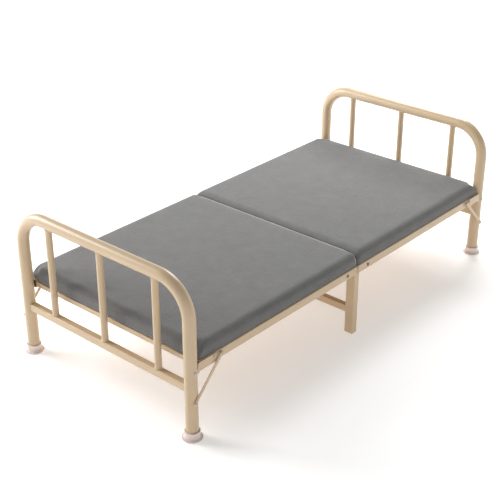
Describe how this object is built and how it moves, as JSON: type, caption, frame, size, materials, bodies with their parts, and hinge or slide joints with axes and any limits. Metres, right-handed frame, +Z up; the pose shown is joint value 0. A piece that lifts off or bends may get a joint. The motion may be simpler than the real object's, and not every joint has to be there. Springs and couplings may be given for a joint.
{
  "type": "folding cot",
  "caption": "Folding cot: arched tubular steel ends with bars, side rails hinged at a middle support, flat corner struts, flanged rubber feet and a grey padded bed in halves.",
  "frame": {"origin": "on the floor, at the middle of the cot", "axes": "+X along the cot towards the head end, +Y towards the left side, +Z up"},
  "size_m": [1.929, 0.933, 0.624],
  "materials": {
    "paint": "cream powder coat, satin",
    "rubber": "off-white, matte",
    "fabric": "mid-grey fine weave",
    "plywood": "plain plywood",
    "zinc": "dark zinc"
  },
  "bodies": {
    "foot_arch": {"foot_arch_crossbar": "paint", "foot_arch_tube": "paint", "foot_arm_bolt_left": "zinc", "foot_arm_bolt_right": "zinc", "foot_arm_left": "paint", "foot_arm_right": "paint", "foot_baluster_left": "paint", "foot_baluster_middle": "paint", "foot_baluster_right": "paint", "foot_rubber_foot_left": "rubber", "foot_rubber_foot_right": "rubber", "foot_strut_stud_left": "zinc", "foot_strut_stud_right": "zinc"},
    "foot_half": {"foot_arch_bolt_left": "zinc", "foot_arch_bolt_right": "zinc", "foot_board": "plywood", "foot_end_rail": "paint", "foot_inner_rail": "paint", "foot_pad": "fabric", "foot_side_rail_left": "paint", "foot_side_rail_right": "paint", "foot_slat": "paint", "foot_strut_rivet_left": "zinc", "foot_strut_rivet_right": "zinc"},
    "middle_support": {"foot_hinge_bolt_left": "zinc", "foot_hinge_bolt_right": "zinc", "head_hinge_bolt_left": "zinc", "head_hinge_bolt_right": "zinc", "middle_crossbar": "paint", "middle_leg_left": "paint", "middle_leg_right": "paint"},
    "head_half": {"head_arch_bolt_left": "zinc", "head_arch_bolt_right": "zinc", "head_board": "plywood", "head_end_rail": "paint", "head_inner_rail": "paint", "head_pad": "fabric", "head_side_rail_left": "paint", "head_side_rail_right": "paint", "head_slat": "paint", "head_strut_rivet_left": "zinc", "head_strut_rivet_right": "zinc"},
    "head_arch": {"head_arch_crossbar": "paint", "head_arch_tube": "paint", "head_arm_bolt_left": "zinc", "head_arm_bolt_right": "zinc", "head_arm_left": "paint", "head_arm_right": "paint", "head_baluster_left": "paint", "head_baluster_middle": "paint", "head_baluster_right": "paint", "head_rubber_foot_left": "rubber", "head_rubber_foot_right": "rubber", "head_strut_stud_left": "zinc", "head_strut_stud_right": "zinc"},
    "foot_struts": {"foot_strut_left": "paint", "foot_strut_right": "paint"},
    "head_struts": {"head_strut_left": "paint", "head_strut_right": "paint"}
  },
  "joints": [
    {"name": "cot_fold", "type": "hinge", "parent": "foot_arch", "child": "foot_half", "pos_m": [-0.828, 0, 0.294], "axis": [0, -1, 0], "range_deg": [0, 90]},
    {"name": "foot_half_fold", "type": "hinge", "parent": "foot_half", "child": "middle_support", "pos_m": [-0.0665, 0, 0.28825], "axis": [0, 1, 0], "range_deg": [0, 90]},
    {"name": "head_half_fold", "type": "hinge", "parent": "middle_support", "child": "head_half", "pos_m": [0.0665, 0, 0.28825], "axis": [0, 1, 0], "range_deg": [0, 90]},
    {"name": "head_arch_fold", "type": "hinge", "parent": "head_half", "child": "head_arch", "pos_m": [0.828, 0, 0.294], "axis": [0, -1, 0], "range_deg": [0, 90]},
    {"name": "foot_strut_swing", "type": "hinge", "parent": "foot_half", "child": "foot_struts", "pos_m": [-0.7968, 0, 0.2982], "axis": [0, 1, 0], "range_deg": [0, 80]},
    {"name": "head_strut_swing", "type": "hinge", "parent": "head_half", "child": "head_struts", "pos_m": [0.7968, 0, 0.2982], "axis": [0, -1, 0], "range_deg": [0, 80]}
  ],
  "couplings": [
    {"joint": "foot_half_fold", "follows": "cot_fold", "ratio": 1},
    {"joint": "head_half_fold", "follows": "cot_fold", "ratio": 1},
    {"joint": "head_arch_fold", "follows": "cot_fold", "ratio": 1},
    {"joint": "foot_strut_swing", "follows": "cot_fold", "ratio": 0.848},
    {"joint": "head_strut_swing", "follows": "cot_fold", "ratio": 0.848}
  ]
}
